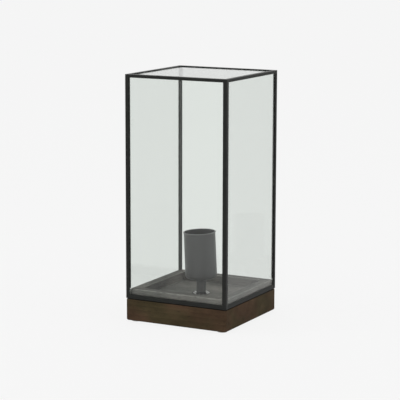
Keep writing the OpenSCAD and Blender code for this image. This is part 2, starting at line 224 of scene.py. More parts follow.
ground_finish = bpy.data.materials.new("pale_ground")
ground_finish.use_nodes = True
ground_finish.node_tree.nodes.clear()
lit = add_node(ground_finish, "ShaderNodeBsdfDiffuse", {"Color": (*PALE, 1.0)})
own_level = dimmed(ground_finish, GROUND_MIRRORED)
own = add_node(ground_finish, "ShaderNodeEmission", {"Color": (*PALE, 1.0), "Strength": own_level})
glow = math_node(ground_finish, "MULTIPLY", seen_directly(ground_finish), GROUND_GLOW)
both = add_node(ground_finish, "ShaderNodeMixShader", {0: glow, 1: lit.outputs[0], 2: own.outputs[0]})
add_node(ground_finish, "ShaderNodeOutputMaterial", {"Surface": both.outputs[0]})

bpy.ops.object.select_all(action="DESELECT")
bpy.ops.mesh.primitive_plane_add(size=GROUND_SIZE)
ground = bpy.context.object
ground.name = "ground"
ground.data.materials.append(ground_finish)

world = bpy.data.worlds.new("pale_room")
world.use_nodes = True
world.node_tree.nodes.clear()
shown = remap(world, seen_directly(world), 0.0, 1.0, SKY_LIGHT, PALE[0])
strength = math_node(world, "MULTIPLY", shown, dimmed(world, SKY_MIRRORED))
sky = add_node(world, "ShaderNodeBackground", {"Color": (1.0, 1.0, 1.0, 1.0), "Strength": strength})
add_node(world, "ShaderNodeOutputWorld", {"Surface": sky.outputs[0]})
bpy.context.scene.world = world
print("ground:", GROUND_SIZE, "m square")

# %% [markdown]
# ## The lamps
# Most of the light comes from the room itself. One soft lamp stands at the right and lights
# the right-hand sides, and a stronger one stands low at the left and lights the front sides
# and the cup. Both are large, so that no hard shadow shows, and neither can be seen in the
# glass, in a mirror image or by the camera.

# %% Soft lamps
def soft_lamp(name, at, aimed_at, size, watts):
    """A square area lamp of this size that faces a point."""
    lamp_data = bpy.data.lights.new(name, "AREA")
    lamp_data.size = size
    lamp_data.energy = watts
    lamp = bpy.data.objects.new(name, lamp_data)
    bpy.context.collection.objects.link(lamp)
    lamp.matrix_world = (
        Matrix.Translation(at) @ (aimed_at - at).to_track_quat("-Z", "Y").to_matrix().to_4x4()
    )
    lamp.visible_camera = lamp.visible_glossy = lamp.visible_transmission = False
    print(name, "at", tuple(round(v, 2) for v in at))


LAMP_MIDDLE = (cad_bounds[0] + cad_bounds[1]) / 2
soft_lamp("key_lamp", Vector((2.0, 0.3, 0.9)), LAMP_MIDDLE, 0.7, 9.0)
soft_lamp("front_lamp", Vector((-1.7, -1.4, 0.5)), LAMP_MIDDLE, 0.6, 18.0)

# %% [markdown]
# ## Starting a piece
# Each piece starts as a primitive, is shaped in edit mode and ends with its object at the
# origin and its place in its mesh. Operators act on all that is selected, so these helpers
# first select the one piece that a step is about.

# %% Selecting, naming and editing
def only(piece):
    """Makes piece the one selected and active object."""
    bpy.ops.object.select_all(action="DESELECT")
    piece.select_set(True)
    bpy.context.view_layer.objects.active = piece


def named(name):
    """Names the object that was just added, fixes its place in its mesh, and gives it back."""
    piece = bpy.context.object
    piece.name = name
    piece.data.name = name
    bpy.ops.object.transform_apply(location=True, rotation=True, scale=True)
    return piece


def block(name, low, high):
    """A box between two corners."""
    bpy.ops.object.select_all(action="DESELECT")
    low, high = Vector(low), Vector(high)
    bpy.ops.mesh.primitive_cube_add(size=1, location=(low + high) / 2, scale=high - low)
    return named(name)


@contextmanager
def editing(piece):
    """Edit mode on one piece, for as long as the block under it lasts."""
    only(piece)
    bpy.ops.object.mode_set(mode="EDIT")
    bpy.ops.mesh.select_mode(type="VERT")
    yield
    bpy.ops.object.mode_set(mode="OBJECT")


# %% [markdown]
# ## Picking faces, edges and corners
# By hand, one clicks the edge to bevel. In a script, an edge is found by where it lies and
# which way it runs, and that still holds when a size changes.

# %% Picking by place
def middle_of(item):
    """The middle of a corner, an edge or a face."""
    if isinstance(item, bmesh.types.BMVert):
        return item.co
    return sum((v.co for v in item.verts), Vector()) / len(item.verts)


def pick(piece, kind, wanted):
    """Selects the items of one kind (VERT, EDGE or FACE) that wanted says yes to."""
    bpy.ops.mesh.select_mode(type=kind)
    bpy.ops.mesh.select_all(action="DESELECT")
    shape = bmesh.from_edit_mesh(piece.data)
    items = {"VERT": shape.verts, "EDGE": shape.edges, "FACE": shape.faces}[kind]
    chosen = [item for item in items if wanted(item)]
    for item in chosen:
        item.select_set(True)
    bmesh.update_edit_mesh(piece.data)
    return len(chosen)


def near(a, b, within=0.02 * MM):
    """True where two lengths are the same, apart from rounding."""
    return abs(a - b) < within


def along(edge, axis):
    """True for an edge that runs along one axis, 0 to 2."""
    run = edge.verts[1].co - edge.verts[0].co
    return abs(run[axis]) > 0.999 * run.length


def all_at(item, axis, value):
    """True where every corner of an edge or face lies at one level of an axis."""
    return all(near(v.co[axis], value) for v in item.verts)


def round_edges(piece, wanted, radius, segments):
    """Rounds the edges that wanted says yes to."""
    count = pick(piece, "EDGE", wanted)
    if count:
        bpy.ops.mesh.bevel(offset=radius, segments=segments, profile=0.5, affect="EDGES")
    print(piece.name, "edges rounded:", count)


def push(x=0.0, y=0.0, z=0.0):
    """Extrudes what is selected along a vector."""
    bpy.ops.mesh.extrude_region_move(TRANSFORM_OT_translate={"value": (x, y, z)})


# %% [markdown]
# ## Finishing a piece
# Each piece ends the same way. Its flat faces stay flat and its curved ones are shaded as
# one, it takes its material, it is attached to the body it moves with, and the imported nodes
# that it stands for are hidden.

# %% Settling a piece
SMOOTH_ANGLE = math.radians(35)


def settle(piece, body, slot_name, finish, *nodes):
    """Finishes a piece: its shading, its material, the body it rides on and what it stands for."""
    only(piece)
    bpy.ops.object.shade_smooth_by_angle(angle=SMOOTH_ANGLE)
    piece.data.materials.clear()
    piece.data.materials.append(finish)
    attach(piece, body)
    if nodes:
        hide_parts(*nodes)
    print(piece.name, "faces", len(piece.data.polygons), "for", nodes)


# %% [markdown]
# ## Dark stained wood
# The plinth and its rim are one kind of open-grained wood with a dark stain. A saw shows the
# growth rings: long flowing lines on the sides along the grain, and arcs on the two ends. So
# the pattern is worked out in depth, as rings round a line along the grain, rather than
# wrapped on the surface. Over it lie fine fibres, dark pores, and the blotches that a stain
# leaves where the wood soaks it up. Edges are a little paler: on the plinth this is wear, and
# on the rim it is partly wear and partly a painted highlight. Along the plinth's top edge,
# where the steel stands, a thin dark line is painted shade for the shadow in the gap under it.

# %% Edge bands
def edge_band(finish, place, half_size, width):
    """1 on the edges of a box of this half size and 0 away from them, broken up by noise."""
    split = add_node(finish, "ShaderNodeSeparateXYZ", {0: place})
    gaps = []
    for axis, half_length in enumerate(half_size):
        reach = math_node(finish, "ABSOLUTE", split.outputs[axis])
        gaps.append(math_node(finish, "SUBTRACT", half_length, reach))
    total = math_node(finish, "ADD", math_node(finish, "ADD", gaps[0], gaps[1]), gaps[2])
    widest = math_node(finish, "MAXIMUM", math_node(finish, "MAXIMUM", gaps[0], gaps[1]), gaps[2])
    to_edge = math_node(finish, "SUBTRACT", total, widest)
    wander = remap(finish, noise(finish, place, 180.0, 4.0), 0.3, 0.7, 0.2 * width, width)
    closeness = math_node(finish, "DIVIDE", to_edge, wander)
    return remap(finish, closeness, 0.2, 1.0, 1.0, 0.0)


# %% [markdown]
# The fibres are stretched over thirty times along the grain, and the pores about half as
# much. The Wave texture has 20 / (2 pi) rings to a unit at scale 1, so the gap between two
# rings, in metres, gives the scale that the texture needs.

# %% Stained wood
RING_GAP_AT_SCALE_1 = 2 * math.pi / 20
STAIN_SHARE = 0.65
PORE_SHARE = 0.55
PORE_COLOUR = (0.012, 0.009, 0.007)
# The colour of the painted shade along the plinth's top edge, under the steel.
SEAM_SHADE_COLOUR = (0.006, 0.0055, 0.005)


def stained_wood(
    name, base, red, olive, pale_edge, half_size, ring_gap, edge_paling, edge_paling_width, seam_shade_width=0.0
):
    """Dark stained wood with its grain along X of the piece's own grain_place."""
    finish, shader = new_finish(name, specular_ior_level=0.05)
    place = place_of(finish, "grain_place")
    wander = noise(finish, stretched(finish, place, (5.0, 26.0, 26.0)), 1.0, 3.0)
    bent = vector_node(finish, "SCALE", {0: (0.0, 0.012, 0.012), "Scale": wander})
    ring_place = vector_node(finish, "ADD", {0: place, 1: bent})
    heart = stretched(finish, ring_place, (1.0, 1.0, 1.0), (0.0, 0.021, 0.034))
    rings = add_node(
        finish,
        "ShaderNodeTexWave",
        {"Vector": heart, "Scale": RING_GAP_AT_SCALE_1 / ring_gap, "Distortion": 0.0},
        wave_type="RINGS",
        rings_direction="X",
        wave_profile="SAW",
    ).outputs["Fac"]
    fibre = noise(finish, stretched(finish, place, (45.0, 1500.0, 1500.0)), 1.0, 3.0, 0.65)
    pore_field = noise(finish, stretched(finish, place, (110.0, 1900.0, 1900.0)), 1.0, 1.0, 0.4)
    pores = remap(finish, pore_field, 0.62, 0.70)
    stain = noise(finish, stretched(finish, place, (24.0, 42.0, 42.0)), 1.0, 3.0)
    hue = noise(finish, stretched(finish, place, (17.0, 30.0, 30.0)), 1.0, 2.0)
    tint = blend_colours(finish, remap(finish, hue, 0.38, 0.62), olive, red)
    colour = blend_colours(finish, STAIN_SHARE, base, tint)
    ringed = remap(finish, rings, 0.0, 1.0, 1.07, 0.88)
    clouded = remap(finish, stain, 0.32, 0.68, 0.78, 1.28)
    streaked = remap(finish, fibre, 0.25, 0.75, 0.86, 1.14)
    level = math_node(finish, "MULTIPLY", math_node(finish, "MULTIPLY", ringed, clouded), streaked)
    shade = vector_node(finish, "SCALE", {0: colour, "Scale": level})
    # Paler edges: wear, and on the rim also a painted highlight along the edges.
    edge_wear_and_highlight = math_node(finish, "MULTIPLY", edge_band(finish, place, half_size, edge_paling_width), edge_paling)
    colour = blend_colours(finish, edge_wear_and_highlight, shade, pale_edge)
    pored = math_node(finish, "MULTIPLY", pores, PORE_SHARE)
    colour = blend_colours(finish, pored, colour, PORE_COLOUR)
    # A thin band just under the top edge is painted shade, for the shadow in the gap under the steel.
    if seam_shade_width:
        height = add_node(finish, "ShaderNodeSeparateXYZ", {0: place}).outputs["Z"]
        top = half_size[2]
        seam_shade = remap(finish, height, top - 1.3 * seam_shade_width, top - 0.8 * seam_shade_width, 0.0, 0.9)
        colour = blend_colours(finish, seam_shade, colour, SEAM_SHADE_COLOUR)
    roughness = remap(finish, fibre, 0.2, 0.8, 0.52, 0.72)
    normal = bumped(finish, fibre, 0.10 * MM)
    normal = bumped(finish, math_node(finish, "SUBTRACT", 1.0, pores), 0.12 * MM, normal)
    return feed(finish, shader, base_color=colour, roughness=roughness, normal=normal)


# %% [markdown]
# The plinth is the darkest and the warmest. The rim, and the floor of the tray inside it,
# are greyer, and the rim's edges are the palest, partly from wear and partly as a painted
# highlight. The floor is the plinth's own top, so the two share their rings. Each finish is
# told the half size of its own piece, because that is where its edges are.

# %% The three woods
PLINTH_LOW, PLINTH_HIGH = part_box("plinth")
PLINTH_MIDDLE = (PLINTH_LOW + PLINTH_HIGH) / 2
PLINTH_GRAIN = {
    "half_size": (PLINTH_HIGH - PLINTH_LOW) / 2,
    "ring_gap": 4.2 * MM,
    "edge_paling": 0.3,
    "edge_paling_width": 1.6 * MM,
}
plinth_wood = stained_wood(
    "plinth_wood",
    base=(0.053, 0.036, 0.021),
    red=(0.061, 0.035, 0.021),
    olive=(0.046, 0.038, 0.018),
    pale_edge=(0.105, 0.076, 0.050),
    # width of the painted shade under the steel
    seam_shade_width=1.4 * MM,
    **PLINTH_GRAIN,
)
tray_wood = stained_wood(
    "tray_wood",
    base=(0.203, 0.194, 0.178),
    red=(0.210, 0.193, 0.177),
    olive=(0.196, 0.194, 0.175),
    pale_edge=(0.27, 0.26, 0.24),
    **PLINTH_GRAIN,
)

BATTEN_LOW, BATTEN_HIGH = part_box("rim_batten_front")
BATTEN_MIDDLE = (BATTEN_LOW + BATTEN_HIGH) / 2
rim_wood = stained_wood(
    "rim_wood",
    base=(0.135, 0.128, 0.117),
    red=(0.140, 0.127, 0.116),
    olive=(0.131, 0.128, 0.115),
    pale_edge=(0.30, 0.29, 0.27),
    half_size=(BATTEN_HIGH - BATTEN_LOW) / 2,
    ring_gap=2.6 * MM,
    # the rim's strong, wide pale edges are partly wear and partly a painted highlight
    edge_paling=0.85,
    edge_paling_width=2.3 * MM,
)

# %% [markdown]
# ## The plinth
# It is one solid block. From below, a recess takes the cover, and a deeper pocket takes the
# wiring. A hole in the middle passes the hollow rod, and one in the back passes the cord.
# The block gets its rounded edges first, while its outline is still a clean box. Then one
# stepped cutter, inset and extruded, takes out both recesses, and the holes are drilled last.
# The top, which is the floor of the tray, has a greyer finish, as the rim round it has.

# %% Cutting, drilling and grain
def cut_away(piece, cutter):
    """Cuts one solid out of a piece and clears the cutter away."""
    only(piece)
    cut = piece.modifiers.new("cut", "BOOLEAN")
    cut.operation = "DIFFERENCE"
    cut.object = cutter
    bpy.ops.object.modifier_apply(modifier="cut")
    bpy.data.objects.remove(cutter)


def bore(piece, start, axis, radius, length, corners=48):
    """Drills a round hole from a point along an axis, X, Y or Z."""
    bpy.ops.object.select_all(action="DESELECT")
    turn = {"X": (0, math.pi / 2, 0), "Y": (math.pi / 2, 0, 0), "Z": (0, 0, 0)}[axis]
    middle = Vector(start)
    middle["XYZ".index(axis)] += length / 2
    bpy.ops.mesh.primitive_cylinder_add(
        vertices=corners, radius=radius, depth=abs(length), location=middle, rotation=turn
    )
    cut_away(piece, named("drill"))


def mark_grain(piece, middle):
    """Stores each corner's place in the piece's own frame, X along the grain, for its material."""
    places = piece.data.attributes.new("grain_place", "FLOAT_VECTOR", "POINT")
    for corner, place in zip(piece.data.vertices, places.data):
        place.vector = corner.co - middle


# %% Plinth
COVER_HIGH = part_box("bottom_cover")[1]
WASHER_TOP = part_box("rod_washer")[1].z
COVER_GAP = 0.2 * MM
SCREW_LEDGE = 7 * MM
PLINTH_EDGE_ROUND = 2.6 * MM
PAST = 1 * MM
half_side = PLINTH_HIGH.x
recess_half = COVER_HIGH.x + COVER_GAP

plinth = block("plinth_block", PLINTH_LOW, PLINTH_HIGH)
with editing(plinth):
    round_edges(plinth, lambda e: True, PLINTH_EDGE_ROUND, 5)

recess = block(
    "recess",
    (-recess_half, -recess_half, PLINTH_LOW.z - PAST),
    (recess_half, recess_half, COVER_HIGH.z),
)
with editing(recess):
    pick(recess, "FACE", lambda f: f.normal.z > 0.9)
    bpy.ops.mesh.inset(thickness=SCREW_LEDGE)
    push(z=WASHER_TOP - COVER_HIGH.z)
cut_away(plinth, recess)
print("plinth before drilling:", len(plinth.data.polygons), "faces")

# %% [markdown]
# Each hole starts a little before the face it enters, so that no skin is left across its
# mouth, and a screw's hole goes a little deeper than the screw. The cord's way is three holes
# on one line: the cord's own, and two wider ones for the barrel and the flange of its bushing.

# %% Holes in the plinth
BUSHING_LOW, BUSHING_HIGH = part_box("cord_bushing")
ROD_HOLE_RADIUS = 5.3 * MM
CORD_HOLE_RADIUS = 4.0 * MM
CORD_HOLE_END = 55 * MM
BUSHING_BARREL_HOLE = 5.1 * MM
BUSHING_FLANGE_HOLE = (BUSHING_HIGH.x - BUSHING_LOW.x) / 2 + 0.1 * MM
BUSHING_FLANGE_DEPTH = 2 * MM
SCREW_HOLE_RADIUS = 1.6 * MM
SCREW_HOLE_CORNERS = 24
inlet_z = (BUSHING_LOW.z + BUSHING_HIGH.z) / 2
block_screw_low, block_screw_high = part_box("block_screw")
block_screw_y = (block_screw_low.y + block_screw_high.y) / 2
screw_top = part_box("cover_screws")[1].z
screw_at = recess_half - SCREW_LEDGE / 2

bore(plinth, (0, 0, WASHER_TOP - PAST), "Z", ROD_HOLE_RADIUS, PLINTH_HIGH.z - WASHER_TOP + 2 * PAST)
for radius, depth in (
    (CORD_HOLE_RADIUS, half_side - CORD_HOLE_END),
    (BUSHING_BARREL_HOLE, half_side - BUSHING_LOW.y + PAST),
    (BUSHING_FLANGE_HOLE, BUSHING_FLANGE_DEPTH + PAST),
):
    bore(plinth, (0, half_side + PAST, inlet_z), "Y", radius, -depth)
screw_holes = [(0, block_screw_y, WASHER_TOP, block_screw_high.z)]
for x in (-screw_at, screw_at):
    screw_holes += [(x, y, COVER_HIGH.z, screw_top) for y in (-screw_at, screw_at)]
for x, y, low, high in screw_holes:
    start = (x, y, low - PAST)
    bore(plinth, start, "Z", SCREW_HOLE_RADIUS, high - low + 2 * PAST, SCREW_HOLE_CORNERS)
mark_grain(plinth, PLINTH_MIDDLE)
settle(plinth, "base", "plinth_wood", plinth_wood, "plinth")
plinth.data.materials.append(tray_wood)
for face in plinth.data.polygons:
    if near(face.center.z, PLINTH_HIGH.z):
        face.material_index = 1

# %% [markdown]
# ## The rim
# Four battens, mitred at the corners, keep the lantern from sliding. One is modelled: a box
# whose inner corners are pushed in along its length makes the mitres, and its top edges are
# rounded as sandpaper leaves them. The mitred edges get a hair of a bevel, which is the thin
# dark line that shows at a glued corner. The other three are turned copies.

# %% Copies round the lamp
def turned_copy(piece, name, quarter_turns):
    """A copy with its own mesh, turned round the lamp's axis by quarter turns."""
    only(piece)
    bpy.ops.object.duplicate(linked=False)
    bpy.context.object.rotation_euler.z = quarter_turns * math.pi / 2
    return named(name)


def all_round(first, names):
    """A piece and its copies under these names, each a quarter turn further round."""
    return [first] + [turned_copy(first, name, turn) for turn, name in enumerate(names, 1)]


# %% Rim battens
BATTEN_WIDTH = BATTEN_HIGH.y - BATTEN_LOW.y
BATTEN_EDGE_ROUND = 0.9 * MM
MITRE_LINE = 0.2 * MM
SIDES = ("front", "right", "back", "left")


def long_top(edge):
    """A long edge of the batten's top."""
    return along(edge, 0) and all_at(edge, 2, BATTEN_HIGH.z)


def mitre_top(edge):
    """A top edge of the batten's slanted ends."""
    run = edge.verts[1].co - edge.verts[0].co
    slanted = min(abs(run.x), abs(run.y)) > 0.1 * MM
    return slanted and middle_of(edge).z > BATTEN_HIGH.z - 0.05 * MM


front_batten = block("batten_front", BATTEN_LOW, BATTEN_HIGH)
with editing(front_batten):
    for end in (-BATTEN_HIGH.x, BATTEN_HIGH.x):
        pick(front_batten, "VERT", lambda v: near(v.co.x, end) and near(v.co.y, BATTEN_HIGH.y))
        bpy.ops.transform.translate(value=(math.copysign(BATTEN_WIDTH, -end), 0, 0))
    round_edges(front_batten, long_top, BATTEN_EDGE_ROUND, 4)
    round_edges(front_batten, mitre_top, MITRE_LINE, 1)
mark_grain(front_batten, BATTEN_MIDDLE)
battens = all_round(front_batten, ["batten_" + side for side in SIDES[1:]])
for batten, side in zip(battens, SIDES):
    settle(batten, "base", "rim_wood", rim_wood, "rim_batten_" + side)

# %% [markdown]
# ## Blackened steel
# The lantern's angle iron has a thin satin black coat. Close to, such a coat has a fine
# pebbled skin, its gloss varies where it was rubbed, and a few specks show bare metal. Small
# noise raises the skin, wide noise shifts the roughness, and a rare speck turns metallic. The
# lantern's outermost edges are those of one large box, so the wood's edge band serves here too.

# %% Satin paint
BARE_SPECK = (0.16, 0.155, 0.145)
RUBBED_EDGE = (0.070, 0.067, 0.062)
RUBBED_SHARE = 0.3
RUBBED_WIDTH = 1.2 * MM


def satin_paint(
    name, colour, roughness, skin_scale, skin_depth, sheen, speck=0.0, clouding=1.0, rubbed_box=None
):
    """A satin coat of paint on metal: a pebbled skin, cloudy gloss, bare specks, rubbed edges."""
    finish, shader = new_finish(name, specular_ior_level=sheen)
    place = place_of(finish)
    skin = noise(finish, place, skin_scale, 2.0, 0.5)
    cloud = noise(finish, place, 55.0, 4.0, 0.6)
    level = remap(finish, cloud, 0.3, 0.7, 1 - 0.14 * clouding, 1 + 0.14 * clouding)
    shown = vector_node(finish, "SCALE", {0: colour, "Scale": level})
    specks = remap(finish, noise(finish, place, 900.0, 2.0, 0.5), 0.74, 0.78, 0.0, speck)
    shown = blend_colours(finish, specks, shown, BARE_SPECK)
    if rubbed_box:
        low, high = rubbed_box
        centred = vector_node(finish, "SUBTRACT", {0: place, 1: (low + high) / 2})
        edges = edge_band(finish, centred, (high - low) / 2, RUBBED_WIDTH)
        rubbed = math_node(finish, "MULTIPLY", edges, RUBBED_SHARE)
        shown = blend_colours(finish, rubbed, shown, RUBBED_EDGE)
    spread = 0.08 * clouding
    gloss = remap(finish, cloud, 0.25, 0.75, roughness - spread, roughness + spread)
    normal = bumped(finish, skin, skin_depth)
    return feed(finish, shader, base_color=shown, roughness=gloss, metallic=specks, normal=normal)


# %% [markdown]
# The cup has three such paints: outside; a darker inside, which is painted shade in the
# cup's hollow; and a paler lip, which is partly wear and partly a painted highlight. None of
# them may get so smooth in a cloud that a renderer takes it for a mirror, which shows as dark
# veins. That is why the clouds on its glossier outside and lip are fainter than the steel's.

# %% Steel and cup finishes
LANTERN_ENDS = ("upright_front_left", "upright_back_right", "bottom_bar_front", "top_bar_back")
outermost = [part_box(node) for node in LANTERN_ENDS]
LANTERN_LOW = Vector([min(box[0][axis] for box in outermost) for axis in range(3)])
LANTERN_HIGH = Vector([max(box[1][axis] for box in outermost) for axis in range(3)])
black_steel = satin_paint(
    "black_steel",
    colour=(0.0135, 0.0143, 0.0128),
    roughness=0.37,
    skin_scale=1100.0,
    skin_depth=0.022 * MM,
    sheen=0.2,
    speck=0.7,
    rubbed_box=(LANTERN_LOW, LANTERN_HIGH),
)
cup_paint = satin_paint(
    "cup_paint", (0.068, 0.067, 0.067), 0.31, 1800.0, 0.006 * MM, 0.9, clouding=0.3
)
# The inside's darker colour is painted shade in the cup's hollow.
cup_inside_painted_shade = satin_paint("cup_inside_painted_shade", (0.048, 0.048, 0.048), 0.60, 1500.0, 0.010 * MM, 0.05)
# The lip's paler colour is partly wear and partly a painted highlight.
cup_lip_wear_and_highlight = satin_paint("cup_lip_wear_and_highlight", (0.190, 0.190, 0.188), 0.34, 1800.0, 0.006 * MM, 0.5, clouding=0.6)
stem_paint = satin_paint(
    "stem_paint", (0.092, 0.091, 0.088), 0.42, 1600.0, 0.008 * MM, 0.4, clouding=0.3
)

# %% [markdown]
# ## The corner uprights
# Each is a length of equal angle. A small square column at the corner is extruded sideways
# twice to make the two legs, the way an angle's section is drawn. Rolled angle is never quite
# sharp, so the outer corner and the ends of the legs are rounded before it is copied.

# %% Corner uprights
UPRIGHT_LOW, UPRIGHT_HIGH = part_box("upright_front_left")
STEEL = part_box("pane_front")[0].y - UPRIGHT_LOW.y
LEG = UPRIGHT_HIGH.x - UPRIGHT_LOW.x
HEEL_ROUND = 0.7 * MM
TOE_ROUND = 0.25 * MM
heel = UPRIGHT_LOW.x


def heel_edge(edge):
    """The upright edge at the angle's outer corner."""
    return along(edge, 2) and near(middle_of(edge).x, heel) and near(middle_of(edge).y, heel)


def toe_edge(edge):
    """An upright edge at the end of a leg."""
    return along(edge, 2) and near(max(middle_of(edge).x, middle_of(edge).y), heel + LEG)


first_angle = block("angle_front_left", UPRIGHT_LOW, (heel + STEEL, heel + STEEL, UPRIGHT_HIGH.z))
with editing(first_angle):
    pick(first_angle, "FACE", lambda f: f.normal.x > 0.9)
    push(x=LEG - STEEL)
    pick(first_angle, "FACE", lambda f: f.normal.y > 0.9 and middle_of(f).x < heel + STEEL)
    push(y=LEG - STEEL)
    round_edges(first_angle, heel_edge, HEEL_ROUND, 4)
    round_edges(first_angle, toe_edge, TOE_ROUND, 2)
CORNERS = ("front_left", "front_right", "back_right", "back_left")
uprights = all_round(first_angle, ["angle_" + corner for corner in CORNERS[1:]])
for upright, corner in zip(uprights, CORNERS):
    settle(upright, "lantern", "black_steel", black_steel, "upright_" + corner)

# %% [markdown]
# ## The bars
# Eight more lengths of angle close the lantern at its top and bottom. A bar is a mitred
# flange, cut across where its leg begins, and the leg is extruded from that strip. Only the
# edges that stay open are rounded, so that the welded and dressed corners run on smoothly.
# The tip of each mitre is trimmed to follow the rounded heel of the upright below it.

# %% Bar of angle
BAR_HEEL_ROUND = 0.45 * MM
MITRE_TRIM = 0.29 * HEEL_ROUND


def angle_bar(name, low, high, leg_up):
    """A front bar between two corners, with its leg above its flange or below it."""
    way = 1 if leg_up else -1
    leg_length = high.z - low.z - STEEL
    open_z, leg_z = (low.z, low.z + STEEL) if leg_up else (high.z, high.z - STEEL)
    leg_end = -heel - LEG
    bar = block(name, (low.x, low.y, min(open_z, leg_z)), (high.x, high.y, max(open_z, leg_z)))

    def leg_strip(face):
        """The part of the flange that the leg rises from."""
        middle = middle_of(face)
        inside = middle.y < low.y + STEEL and abs(middle.x) < leg_end
        return face.normal.z * way > 0.9 and inside

    def outer_long(edge):
        """The long outer edge on the flange's open side."""
        return along(edge, 0) and all_at(edge, 1, low.y) and all_at(edge, 2, open_z)

    def inner_long(edge):
        """A long edge at the flange's inner side or at the leg's end."""
        at_leg_end = all_at(edge, 2, leg_z + way * leg_length)
        return along(edge, 0) and (all_at(edge, 1, high.y) or at_leg_end)

    with editing(bar):
        for end in (heel, -heel):
            pick(bar, "VERT", lambda v: near(v.co.x, end) and near(v.co.y, high.y))
            bpy.ops.transform.translate(value=(math.copysign(high.y - low.y, -end), 0, 0))
        for point, normal in (
            ((-leg_end, 0, 0), (1, 0, 0)),
            ((leg_end, 0, 0), (1, 0, 0)),
            ((0, low.y + STEEL, 0), (0, 1, 0)),
        ):
            bpy.ops.mesh.select_all(action="SELECT")
            bpy.ops.mesh.bisect(plane_co=point, plane_no=normal)
        pick(bar, "FACE", leg_strip)
        push(z=way * leg_length)
        round_edges(bar, outer_long, BAR_HEEL_ROUND, 3)
        round_edges(bar, inner_long, TOE_ROUND, 2)
        for hand in (-1, 1):
            bpy.ops.mesh.select_all(action="SELECT")
            bpy.ops.mesh.bisect(
                plane_co=(hand * (-heel - MITRE_TRIM), heel + MITRE_TRIM, 0),
                plane_no=(hand, -1, 0),
                use_fill=True,
                clear_outer=True,
            )
    return bar


# %% Top and bottom bars
BAR_LEVELS = (
    ("top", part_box("top_bar_front"), False),
    ("bottom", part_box("bottom_bar_front"), True),
)
for level, (low, high), leg_up in BAR_LEVELS:
    front_bar = angle_bar(level + "_angle_front", low, high, leg_up)
    bars = all_round(front_bar, [level + "_angle_" + side for side in SIDES[1:]])
    for bar, side in zip(bars, SIDES):
        settle(bar, "lantern", "black_steel", black_steel, level + "_bar_" + side)

# %% [markdown]
# ## Window glass
# Clear float glass 3 mm thick is faintly green, and it bends what is behind it a little. A
# real refracting shader on a real pane gives both, with the mirror-like reflection that grows
# at a glancing angle. Lamps should light the inside too, and a renderer finds it hard to send
# light through a refracting pane, so rays from lamps and from lit surfaces pass straight
# through, a little dimmed.

# %% Glass finish
GLASS_TINT = (0.921, 0.945, 0.925, 1.0)
LAMPLIGHT_TINT = (0.93, 0.945, 0.935, 1.0)

pane_glass, glass_shader = new_finish("pane_glass", transmission_weight=1.0, ior=1.5, roughness=0.0)
glass_shader.inputs["Base Color"].default_value = GLASS_TINT
clear = add_node(pane_glass, "ShaderNodeBsdfTransparent", {"Color": LAMPLIGHT_TINT})
path = add_node(pane_glass, "ShaderNodeLightPath")
passing = math_node(
    pane_glass, "MAXIMUM", path.outputs["Is Shadow Ray"], path.outputs["Is Diffuse Ray"]
)
surfaces = {0: passing, 1: glass_shader.outputs[0], 2: clear.outputs[0]}
pane_mix = add_node(pane_glass, "ShaderNodeMixShader", surfaces)
pane_out = pane_glass.node_tree.nodes["Material Output"]
pane_glass.node_tree.links.new(pane_mix.outputs[0], pane_out.inputs["Surface"])
print("finish:", pane_glass.name)

# %% [markdown]
# ## Moulded and run-in parts
# Sealant, plastic and fired clay share one recipe: a nearly even colour with faint clouds,
# and a fine skin. The depth of the skin and the gloss set them apart.

# %% Moulded finishes
def moulded(name, colour, roughness, cloud_scale, skin_scale, skin_depth, spread=0.10):
    """A moulded material: one colour with faint clouds and a fine skin."""
    finish, shader = new_finish(name)
    place = place_of(finish)
    cloud = noise(finish, place, cloud_scale, 4.0, 0.6)
    level = remap(finish, cloud, 0.3, 0.7, 1 - spread, 1 + spread)
    shade = vector_node(finish, "SCALE", {0: colour, "Scale": level})
    gloss = remap(finish, cloud, 0.3, 0.7, roughness - 0.05, roughness + 0.05)
    normal = bumped(finish, noise(finish, place, skin_scale, 2.0), skin_depth)
    return feed(finish, shader, base_color=shade, roughness=gloss, normal=normal)


# %% [markdown]
# ## The panes
# Glass is cut, and its sharp edges are then rubbed down, so each pane is a plate with a tiny
# bevel all round. The front, right and top panes are modelled, and the first two are turned
# for the back and the left. The cut edges are a second material, a dark glazing compound,
# because a bare glass edge would shine out of the black frame.

# %% Panes
ARRIS = 0.3 * MM
edge_compound = moulded("edge_compound", (0.014, 0.014, 0.014), 0.6, 300.0, 1500.0, 0.02 * MM)


def glass_pane(node):
    """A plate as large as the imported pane, with its edges rubbed down."""
    low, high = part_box(node)
    plate = block("glass_" + node.removeprefix("pane_"), low, high)
    with editing(plate):
        round_edges(plate, lambda e: True, ARRIS, 1)
    return plate


front_glass, right_glass, top_glass = (
    glass_pane(node) for node in ("pane_front", "pane_right", "pane_top")
)
back_glass = turned_copy(front_glass, "glass_back", 2)
left_glass = turned_copy(right_glass, "glass_left", 2)
for plate in (front_glass, right_glass, back_glass, left_glass, top_glass):
    node = "pane_" + plate.name.removeprefix("glass_")
    settle(plate, "lantern", "pane_glass", pane_glass, node)
    plate.data.materials.append(edge_compound)
    thin_axis = min(range(3), key=lambda axis: plate.dimensions[axis])
    for face in plate.data.polygons:
        face.material_index = 0 if abs(face.normal[thin_axis]) > 0.99 else 1

# %% [markdown]
# ## The glazing bead
# A fillet of black sealant runs up each inner corner, where two panes meet, and holds the
# glass to the steel. It stops just above the wooden rim, which the lantern has to slide over.
# A square strip with one edge bevelled to a hollow makes the fillet, and copies turn round.

